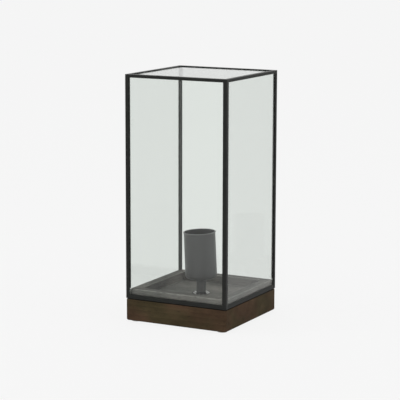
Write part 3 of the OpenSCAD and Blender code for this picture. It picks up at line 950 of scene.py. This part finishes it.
# %% Glazing beads
BEAD_WIDTH = 2.2 * MM
BEAD_HOLLOW = 0.16
BEAD_GAP = 0.05 * MM
BEAD_CLEARANCE = 1 * MM
PANE_LOW, PANE_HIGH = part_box("pane_right")
inner_face = PANE_LOW.x - BEAD_GAP
sealant = moulded("sealant", (0.066, 0.068, 0.063), 0.45, 150.0, 700.0, 0.03 * MM, 0.15)


def bead_front(edge):
    """The upright edge of the strip that faces the middle of the lantern."""
    middle = middle_of(edge)
    return along(edge, 2) and middle.x + middle.y < 2 * inner_face - 1.5 * BEAD_WIDTH


first_bead = block(
    "bead_back_right",
    (inner_face - BEAD_WIDTH, inner_face - BEAD_WIDTH, BATTEN_HIGH.z + BEAD_CLEARANCE),
    (inner_face, inner_face, PANE_HIGH.z - BEAD_GAP),
)
with editing(first_bead):
    pick(first_bead, "EDGE", bead_front)
    bpy.ops.mesh.bevel(offset=0.95 * BEAD_WIDTH, segments=5, profile=BEAD_HOLLOW, affect="EDGES")
for bead in all_round(first_bead, ["bead_back_left", "bead_front_left", "bead_front_right"]):
    settle(bead, "lantern", "black_steel", sealant)

# %% [markdown]
# ## The cup's own frame
# The cup and the socket in it lean a little off upright, as they do in the photograph. The
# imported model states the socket's axis, so the leaning pieces are modelled upright at the
# origin and then carried over by one matrix. A leaning cup would dip into the flat top of the
# stem at its low side, so it is lifted along its own axis until it just clears the stem.

# %% Leaning frame of the cup
socket_mount = next(m for m in frame["record"]["mounts"] if m["name"] == "bulb_socket")
CUP_AXIS = Vector(socket_mount["axis"]).normalized()
SLEEVE_LOW, SLEEVE_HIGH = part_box("stem_sleeve")
CUP_LIFT = 0.301 * MM
straight_up = Vector((0, 0, 1))
cup_turn = straight_up.rotation_difference(CUP_AXIS).to_matrix().to_4x4()
seated = Matrix.Translation((0, 0, CUP_LIFT))
CUP_FRAME = Matrix.Translation((0, 0, SLEEVE_HIGH.z)) @ cup_turn @ seated
print("the cup leans by", round(math.degrees(CUP_AXIS.angle(straight_up)), 2), "degrees")

# %% [markdown]
# ## The cup
# It was drawn from sheet metal: a round bottom corner, walls that open slightly towards the
# mouth, and a lip folded over into a slim bead. Its section is one closed profile with
# straight runs and arcs, and the Spin operator turns it round the axis. A spun profile meets
# itself at the seam, so the doubled corners are merged and the normals recalculated. The
# paint inside is darker, as painted shade in the cup's hollow, and the lip is paler, partly
# from wear where bulbs go in and out and partly as a painted highlight.

# %% Drawing a profile and spinning it
SAME_CORNER = 0.001 * MM


def line_of_corners(name, points):
    """A line through (radius, height) points, drawn by extruding one corner along them."""
    bpy.ops.object.select_all(action="DESELECT")
    bpy.ops.mesh.primitive_plane_add(size=MM)
    line = named(name)
    with editing(line):
        bpy.ops.mesh.select_all(action="SELECT")
        bpy.ops.mesh.merge(type="CENTER")
        bpy.ops.transform.translate(value=(points[0][0], 0, points[0][1]))
        for (r0, z0), (r1, z1) in zip(points, points[1:]):
            step = (r1 - r0, 0, z1 - z0)
            bpy.ops.mesh.extrude_vertices_move(TRANSFORM_OT_translate={"value": step})
    return line


def lathe(name, profile, steps):
    """A closed profile of (radius, height) points, spun round Z, with its seam merged."""
    piece = line_of_corners(name, profile + profile[:1])
    with editing(piece):
        bpy.ops.mesh.select_all(action="SELECT")
        bpy.ops.mesh.remove_doubles(threshold=SAME_CORNER)
        bpy.ops.mesh.spin(steps=steps, angle=2 * math.pi, center=(0, 0, 0), axis=(0, 0, 1))
        bpy.ops.mesh.select_all(action="SELECT")
        bpy.ops.mesh.remove_doubles(threshold=SAME_CORNER)
        bpy.ops.mesh.normals_make_consistent(inside=False)
    return piece


def arc(centre, radius, start, end, steps):
    """Points of an arc in a profile, from one angle to another, in degrees from straight out."""
    angles = [math.radians(start + (end - start) * i / steps) for i in range(steps + 1)]
    return [(centre[0] + radius * math.cos(a), centre[1] + radius * math.sin(a)) for a in angles]


def moved_by(piece, matrix):
    """Puts the piece where a matrix says, with its place in its mesh."""
    only(piece)
    piece.matrix_world = matrix
    bpy.ops.object.transform_apply(location=True, rotation=True, scale=True)
    return piece


# %% [markdown]
# The bead on the lip is an arc of most of a circle. The inner wall follows the outer one at
# the thickness of the sheet, so the bottom corner has two arcs round the same middle.

# %% Lampholder cup
CUP_HEIGHT = 68 * MM
CUP_BOTTOM_RADIUS = 23.0 * MM
CUP_TOP_RADIUS = 23.25 * MM
CUP_WALL = 1.2 * MM
CUP_CORNER = 5 * MM
CUP_HOLE = 5.25 * MM
CUP_STEPS = 128
BEAD = 0.8 * MM
BEAD_PROUD = 0.3 * MM
NECK_INSET = 0.5 * MM
NECK_DROP = 3.0 * BEAD
corner_at = (CUP_BOTTOM_RADIUS - CUP_CORNER, CUP_CORNER)
bead_at = (CUP_TOP_RADIUS - BEAD + BEAD_PROUD, CUP_HEIGHT - BEAD)
wall_radius = CUP_TOP_RADIUS - NECK_INSET
wall_top = CUP_HEIGHT - NECK_DROP
cup_profile = (
    [(CUP_HOLE, 0.0)]
    + arc(corner_at, CUP_CORNER, -90, 0, 10)
    + [(wall_radius, wall_top), (wall_radius + 0.1 * MM, wall_top + 0.8 * BEAD)]
    + arc(bead_at, BEAD, -30, 210, 12)
    + [(wall_radius - CUP_WALL, wall_top)]
    + arc(corner_at, CUP_CORNER - CUP_WALL, 0, -90, 10)
    + [(CUP_HOLE, CUP_WALL)]
)
cup = moved_by(lathe("cup", cup_profile, CUP_STEPS), CUP_FRAME)
settle(cup, "base", "cup_paint", cup_paint, "lampholder_cup")

# %% [markdown]
# A face belongs to the lip when it lies near the top, and to the inside when its normal
# points at the axis. Both are read in the cup's own upright frame.

# %% Three paints on the cup
# The inside takes the darker paint of painted shade, and the lip the paler paint of wear and painted
# highlight.
cup.data.materials.append(cup_inside_painted_shade)
cup.data.materials.append(cup_lip_wear_and_highlight)
to_cup_frame = CUP_FRAME.inverted()
for face in cup.data.polygons:
    place = to_cup_frame @ face.center
    facing = to_cup_frame.to_3x3() @ face.normal
    if place.z > CUP_HEIGHT - BEAD:
        face.material_index = 2
    elif facing.x * place.x + facing.y * place.y < 0:
        face.material_index = 1
painted = [face.material_index for face in cup.data.polygons]
print("faces outside, inside and on the lip:", [painted.count(index) for index in range(3)])

# %% [markdown]
# ## The stem and its foot
# A painted sleeve hides the hollow rod, and a bright turned plate spreads the stem's load on
# the wood. The plate was faced on a lathe, so its brushing runs in rings: noise that depends
# mostly on the distance from the middle gives them.

# %% Turned steel finish
def turned_steel(name, colour, roughness, rings_in_a_metre, depth):
    """Bare steel with the fine rings of a lathe tool round the lamp's axis."""
    finish, shader = new_finish(name, metallic=1.0)
    place = place_of(finish)
    flat = vector_node(finish, "MULTIPLY", {0: place, 1: (1.0, 1.0, 0.0)})
    radius = vector_node(finish, "LENGTH", {0: flat}, "Value")
    ring_at = add_node(finish, "ShaderNodeCombineXYZ", {0: radius}).outputs[0]
    rings = noise(finish, ring_at, rings_in_a_metre, 2.0, 0.6)
    stain = noise(finish, place, 260.0, 3.0, 0.6)
    dark = tuple(0.55 * channel for channel in colour)
    shown = blend_colours(finish, remap(finish, stain, 0.35, 0.75), colour, dark)
    gloss = remap(finish, rings, 0.3, 0.7, roughness - 0.06, roughness + 0.10)
    normal = bumped(finish, rings, depth)
    return feed(finish, shader, base_color=shown, roughness=gloss, normal=normal)


foot_plate_steel = turned_steel("foot_plate_steel", (0.34, 0.33, 0.32), 0.16, 4200.0, 0.003 * MM)

# %% Stem sleeve
SLEEVE_BORE = 5.15 * MM
SLEEVE_EDGE = 0.3 * MM
sleeve_side = SLEEVE_HIGH.x - SLEEVE_EDGE
sleeve_profile = (
    [(SLEEVE_BORE, SLEEVE_LOW.z), (sleeve_side, SLEEVE_LOW.z)]
    + arc((sleeve_side, SLEEVE_LOW.z + SLEEVE_EDGE), SLEEVE_EDGE, -60, 0, 3)
    + arc((sleeve_side, SLEEVE_HIGH.z - SLEEVE_EDGE), SLEEVE_EDGE, 0, 90, 4)
    + [(SLEEVE_BORE, SLEEVE_HIGH.z)]
)
sleeve = lathe("sleeve", sleeve_profile, 64)
settle(sleeve, "base", "stem_paint", stem_paint, "stem_sleeve")

# %% Foot plate
PLATE_LOW, PLATE_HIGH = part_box("foot_plate")
PLATE_BORE = 5.2 * MM
PLATE_EDGE = 0.3 * MM
RIM_ROUND = 0.5 * MM
CROWN_ROUND = 0.8 * MM
CROWN_INSET = 4.0 * MM
SLOPE_INSET = 1.4 * MM
SLOPE_RISE = 0.62
RIM_ARC_RISE = 0.6 * MM
plate_radius = PLATE_HIGH.x
slope_z = PLATE_LOW.z + SLOPE_RISE * (PLATE_HIGH.z - PLATE_LOW.z)
plate_profile = (
    [(PLATE_BORE, PLATE_LOW.z), (plate_radius - PLATE_EDGE, PLATE_LOW.z)]
    + arc((plate_radius - RIM_ROUND, PLATE_LOW.z + RIM_ARC_RISE), RIM_ROUND, -40, 70, 5)
    + [(plate_radius - SLOPE_INSET, slope_z)]
    + arc((plate_radius - CROWN_INSET, PLATE_HIGH.z - CROWN_ROUND), CROWN_ROUND, 60, 90, 3)
    + [(PLATE_BORE + PLATE_EDGE, PLATE_HIGH.z), (PLATE_BORE, PLATE_HIGH.z - PLATE_EDGE)]
)
plate = lathe("turned_foot_plate", plate_profile, 96)
settle(plate, "base", "foot_plate_steel", foot_plate_steel, "foot_plate")

# %% [markdown]
# ## Moulded parts
# The socket's barrel is pressed from black thermoset, the bushing is soft black plastic, the
# terminal block is pale nylon, the insulator is fired clay and the wires are covered in vinyl.

# %% Finishes of the moulded parts
socket_black = moulded("socket_black", (0.013, 0.013, 0.013), 0.34, 90.0, 1500.0, 0.006 * MM)
black_plastic = moulded("black_plastic", (0.016, 0.016, 0.016), 0.5, 140.0, 2200.0, 0.012 * MM)
block_plastic = moulded("block_plastic", (0.74, 0.72, 0.66), 0.42, 120.0, 1800.0, 0.006 * MM, 0.04)
insulator = moulded("insulator", (0.62, 0.58, 0.50), 0.34, 160.0, 1100.0, 0.012 * MM, 0.06)
live_insulation = moulded("live_insulation", (0.14, 0.06, 0.025), 0.36, 200.0, 1600.0, 0.008 * MM)
neutral_insulation = moulded("neutral_insulation", (0.03, 0.09, 0.30), 0.36, 200.0, 1600.0, 0.008 * MM)

# %% [markdown]
# ## The socket's barrel
# It screws over the insulator and carries the threaded shell. Its outside has the shallow
# grip rings that fingers need to unscrew it, and its mouth is rounded.

# %% Socket barrel
BARREL_BOTTOM = 25.2 * MM
BARREL_TOP = 55.2 * MM
BARREL_RADIUS = 18 * MM
BARREL_LIP_RADIUS = 13.9 * MM
BARREL_BORE = 14.0 * MM
BARREL_EDGE = 0.3 * MM
TOP_ROUND = 1.2 * MM
LIP_ROUND = 0.6 * MM
SKIRT_RADIUS = 17.2 * MM
SHELL_BOTTOM = 28.2 * MM
SHELL_TOP = 52.2 * MM
SHELL_ROOM = 0.2 * MM
GRIP_RINGS = 6
GRIP_START = 5 * MM
GRIP_PITCH = 3.0 * MM
GRIP_DEPTH = 0.35 * MM
grip_floor = BARREL_RADIUS - GRIP_DEPTH

barrel_outside = [
    (SKIRT_RADIUS, BARREL_BOTTOM),
    (BARREL_RADIUS - BARREL_EDGE, BARREL_BOTTOM),
    (BARREL_RADIUS, BARREL_BOTTOM + BARREL_EDGE),
]
for ring in range(GRIP_RINGS):
    z = BARREL_BOTTOM + GRIP_START + ring * GRIP_PITCH
    barrel_outside += [
        (BARREL_RADIUS, z),
        (grip_floor, z + 0.4 * MM),
        (grip_floor, z + 0.9 * MM),
        (BARREL_RADIUS, z + 1.3 * MM),
    ]
barrel_profile = (
    barrel_outside
    + arc((BARREL_RADIUS - TOP_ROUND, BARREL_TOP - TOP_ROUND), TOP_ROUND, 0, 90, 6)
    + arc((BARREL_LIP_RADIUS + LIP_ROUND, BARREL_TOP - LIP_ROUND), LIP_ROUND, 90, 180, 4)
    + [
        (BARREL_LIP_RADIUS, SHELL_TOP + SHELL_ROOM),
        (BARREL_BORE, SHELL_TOP + SHELL_ROOM),
        (BARREL_BORE, SHELL_BOTTOM + SHELL_ROOM),
        (SKIRT_RADIUS, SHELL_BOTTOM + SHELL_ROOM),
    ]
)
barrel = moved_by(lathe("barrel", barrel_profile, 96), CUP_FRAME)
settle(barrel, "base", "socket_black", socket_black, "socket_barrel")

# %% [markdown]
# ## Nickelled brass
# The shell and the contacts are thin brass with a nickel flash that has worn through in
# places. Wide noise mixes the warm and the cool metal, and narrow noise tarnishes it. The
# brass sleeves and the steel screws, with two tones of their own metal, come out of it too.

# %% Bright metals
def plated(name, under, over, roughness, share):
    """A bright metal over another one, worn and slightly tarnished."""
    finish, shader = new_finish(name, metallic=1.0)
    place = place_of(finish)
    wear = remap(finish, noise(finish, place, 240.0, 4.0, 0.6), 0.35, 0.65, 0.0, share)
    tarnish = remap(finish, noise(finish, place, 700.0, 3.0, 0.6), 0.45, 0.8, 0.0, 0.5)
    metal = blend_colours(finish, wear, over, under)
    dark = tuple(0.45 * channel for channel in under)
    shown = blend_colours(finish, tarnish, metal, dark)
    gloss = remap(finish, tarnish, 0.0, 0.5, roughness, roughness + 0.2)
    normal = bumped(finish, noise(finish, place, 2500.0, 2.0), 0.004 * MM)
    return feed(finish, shader, base_color=shown, roughness=gloss, normal=normal)


contact_metal = plated("contact_metal", (0.62, 0.46, 0.20), (0.62, 0.56, 0.45), 0.24, 0.8)
brass = plated("brass", (0.60, 0.44, 0.18), (0.68, 0.52, 0.24), 0.28, 0.6)
screw_steel = plated("screw_steel", (0.40, 0.39, 0.37), (0.55, 0.55, 0.54), 0.30, 0.7)

# %% [markdown]
# ## The threaded shell
# The shell that grips the bulb is rolled from thin sheet, so its thread shows as one round
# wave that climbs a pitch in each turn. The Screw modifier sweeps one wave of the profile
# round the axis while it climbs. The ends, which come out slanted, are cut square, and the
# Solidify modifier gives the sheet its thickness.

# %% Threaded shell
THREAD_PITCH = 3.63 * MM
THREAD_ROOT = 13.45 * MM
THREAD_CREST = 12.55 * MM
SHEET = 0.3 * MM
WAVE_STEPS = 10
thread_turns = math.ceil((SHELL_TOP - SHELL_BOTTOM) / THREAD_PITCH) + 1
wave_middle = (THREAD_ROOT + THREAD_CREST) / 2
wave_height = (THREAD_ROOT - THREAD_CREST) / 2
wave = []
for i in range(WAVE_STEPS + 1):
    wave_radius = wave_middle + wave_height * math.cos(2 * math.pi * i / WAVE_STEPS)
    wave.append((wave_radius, SHELL_BOTTOM - THREAD_PITCH + THREAD_PITCH * i / WAVE_STEPS))

shell = line_of_corners("shell_thread", wave)
climb = shell.modifiers.new("climb", "SCREW")
climb.angle = 2 * math.pi
climb.screw_offset = THREAD_PITCH
climb.iterations = thread_turns
climb.steps = climb.render_steps = 64
climb.use_merge_vertices = True
climb.merge_threshold = SAME_CORNER
only(shell)
bpy.ops.object.modifier_apply(modifier="climb")
print("thread turns:", thread_turns, "faces:", len(shell.data.polygons))

# %% Ends and thickness of the shell
with editing(shell):
    for z, normal in ((SHELL_BOTTOM, (0, 0, -1)), (SHELL_TOP, (0, 0, 1))):
        bpy.ops.mesh.select_all(action="SELECT")
        bpy.ops.mesh.bisect(plane_co=(0, 0, z), plane_no=normal, clear_outer=True)
    bpy.ops.mesh.select_all(action="SELECT")
    bpy.ops.mesh.remove_doubles(threshold=5 * SAME_CORNER)
    bpy.ops.mesh.normals_make_consistent(inside=False)
wall = shell.modifiers.new("wall", "SOLIDIFY")
wall.thickness = SHEET
wall.offset = 0.0
bpy.ops.object.modifier_apply(modifier="wall")
moved_by(shell, CUP_FRAME)
settle(shell, "base", "contact_metal", contact_metal, "threaded_shell")

# %% [markdown]
# ## The cord bushing
# It lines the hole where the mains cord enters the back of the plinth. Its flange has a
# rounded face and the mouth is flared, so that the edge can't chafe a cord.

# %% Cord bushing
BUSHING_BORE = 3.3 * MM
BUSHING_BARREL = 5.0 * MM
BUSHING_CHAMFER = 0.4 * MM
FLANGE_ROUND = 0.9 * MM
MOUTH_FLARE = 1.0 * MM
bushing_flange = (BUSHING_HIGH.x - BUSHING_LOW.x) / 2
bushing_length = BUSHING_HIGH.y - BUSHING_LOW.y
bushing_profile = (
    [
        (BUSHING_BORE, -bushing_length),
        (BUSHING_BARREL - BUSHING_CHAMFER, -bushing_length),
        (BUSHING_BARREL, -bushing_length + BUSHING_CHAMFER),
        (BUSHING_BARREL, -BUSHING_FLANGE_DEPTH),
        (bushing_flange, -BUSHING_FLANGE_DEPTH),
    ]
    + arc((bushing_flange - FLANGE_ROUND, -FLANGE_ROUND), FLANGE_ROUND, 0, 90, 6)
    + arc((BUSHING_BORE + MOUTH_FLARE, -MOUTH_FLARE), MOUTH_FLARE, 90, 180, 6)
)
to_back = Matrix.Translation((0, half_side, inlet_z)) @ Matrix.Rotation(-math.pi / 2, 4, "X")
bushing = moved_by(lathe("bushing", bushing_profile, 64), to_back)
settle(bushing, "base", "black_plastic", black_plastic, "cord_bushing")

# %% [markdown]
# ## The felt pads
# Four discs punched from wool felt keep the wood off the table. Felt has no weave, only
# tangled fibres, so its colour and bump are fine noise, and a sheen stands for loose hairs.
# It is undyed, a pale grey, so that the pads don't show as dark dots under the lamp.
# Felt can't keep a sharp edge, so the top and bottom edges of each disc are rounded.

# %% Felt finish
felt, felt_shader = new_finish("felt", sheen_weight=0.35, sheen_roughness=0.5)
hairs = noise(felt, place_of(felt), 2600.0, 4.0, 0.7, 0.6)
tangle = remap(felt, hairs, 0.3, 0.7)
feed(
    felt,
    felt_shader,
    base_color=blend_colours(felt, tangle, (0.42, 0.41, 0.39), (0.60, 0.59, 0.56)),
    roughness=remap(felt, hairs, 0.0, 1.0, 0.88, 1.0),
    normal=bumped(felt, hairs, 0.15 * MM),
)

# %% Felt pads
PAD_RADIUS = 7 * MM
PAD_SOFTNESS = 0.35 * MM
PADS_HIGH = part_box("foot_pads")[1]
pad_at = PADS_HIGH.x - PAD_RADIUS


def pad_rim(edge):
    """An edge round the top or the bottom of a pad."""
    return all_at(edge, 2, 0.0) or all_at(edge, 2, PADS_HIGH.z)


bpy.ops.object.select_all(action="DESELECT")
bpy.ops.mesh.primitive_cylinder_add(
    vertices=48, radius=PAD_RADIUS, depth=PADS_HIGH.z, location=(pad_at, pad_at, PADS_HIGH.z / 2)
)
felt_pads = named("felt_pads")
with editing(felt_pads):
    round_edges(felt_pads, pad_rim, PAD_SOFTNESS, 3)
for pad in all_round(felt_pads, ["felt_pad_1", "felt_pad_2", "felt_pad_3"]):
    pad.select_set(True)
bpy.context.view_layer.objects.active = felt_pads
bpy.ops.object.join()
settle(felt_pads, "base", "felt", felt, "foot_pads")

# %% [markdown]
# ## The wires
# Two insulated wires run from the terminal block, down under the nut, up through the hollow
# rod and into the insulator. Each is one smooth curve, led by listed points, with a round
# section, made a mesh at the end.

# %% Routes of the wires
WIRE_RADIUS = 1.1 * MM
BASE_ROUTE = [
    (5, 26, 18), (5, 21, 18), (4.6, 17.5, 17.4), (4, 13, 15.6), (3.2, 9, 13.2), (2.4, 5.4, 11.8),
    (1.9, 2.4, 12), (1.6, 0.5, 13.8), (1.6, 0, 16.8), (1.6, 0, 24), (1.6, 0, 40.25), (1.6, 0, 56.5),
]
CUP_ROUTE = [
    (1.6, 0, 7.2), (2.3, 0, 9.8), (4, 0, 12), (5.8, 0, 14), (6.8, 0, 16), (7, 0, 17.7), (7, 0, 20.2),
]


def wire_points(hand):
    """The route on one side, hand 1 or -1. Both lists are in millimetres, the second leaning."""
    below = [Vector((hand * x, y, z)) * MM for x, y, z in BASE_ROUTE]
    return below + [CUP_FRAME @ (Vector((hand * x, y, z)) * MM) for x, y, z in CUP_ROUTE]


# %% Wires
def round_wire(name, points):
    """A round wire on one smooth curve led by a route, made a mesh."""
    route = bpy.data.curves.new(name, "CURVE")
    route.dimensions = "3D"
    route.bevel_depth = WIRE_RADIUS
    route.bevel_resolution = 3
    route.use_fill_caps = True
    line = route.splines.new("NURBS")
    line.points.add(len(points) - 1)
    for control, point in zip(line.points, points):
        control.co = (*point, 1.0)
    line.order_u = 3
    line.use_endpoint_u = True
    line.resolution_u = 4
    wire = bpy.data.objects.new(name, route)
    bpy.context.collection.objects.link(wire)
    only(wire)
    bpy.ops.object.convert(target="MESH")
    with editing(bpy.context.object):
        bpy.ops.mesh.select_all(action="SELECT")
        bpy.ops.mesh.remove_doubles(threshold=0.01 * MM)
    return bpy.context.object


for live, hand, finish in (("live", 1, live_insulation), ("neutral", -1, neutral_insulation)):
    wire = round_wire(live + "_lead", wire_points(hand))
    settle(wire, "base", live + "_insulation", finish, live + "_wire")

# %% [markdown]
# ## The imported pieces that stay
# Screws, nuts, contacts, the terminal block and the cover are right as they are packed, so
# they only take their finishes. The cover is dyed fibreboard: matted fibres, flat and dull.

# %% Cover board
board, board_shader = new_finish("cover_board", specular_ior_level=0.3)
board_place = place_of(board)
mat_fibres = noise(board, board_place, 900.0, 5.0, 0.7, 0.4)
matting = remap(board, mat_fibres, 0.3, 0.7)
board_tone = blend_colours(board, matting, (0.020, 0.017, 0.014), (0.045, 0.039, 0.033))
clouds = remap(board, noise(board, board_place, 30.0, 3.0), 0.3, 0.7, 0.0, 0.35)
feed(
    board,
    board_shader,
    base_color=blend_colours(board, clouds, board_tone, (0.028, 0.026, 0.024)),
    roughness=remap(board, mat_fibres, 0.2, 0.8, 0.7, 0.9),
    normal=bumped(board, mat_fibres, 0.05 * MM),
)

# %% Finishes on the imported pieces
KEPT_NODES = {
    "bottom_cover": board,
    "cover_screws": screw_steel,
    "terminal_block": block_plastic,
    "terminal_sleeves": brass,
    "terminal_screws": screw_steel,
    "block_screw": screw_steel,
    "hollow_rod": screw_steel,
    "rod_washer": screw_steel,
    "rod_nut": screw_steel,
    "socket_cap": socket_black,
    "socket_insert": insulator,
    "side_contact": contact_metal,
    "contact_foot": contact_metal,
    "centre_contact": contact_metal,
}
for node, finish in KEPT_NODES.items():
    for material_slot in frame["nodes"][node].material_slots:
        material_slot.material = finish
print("packed pieces that stay:", len(KEPT_NODES))
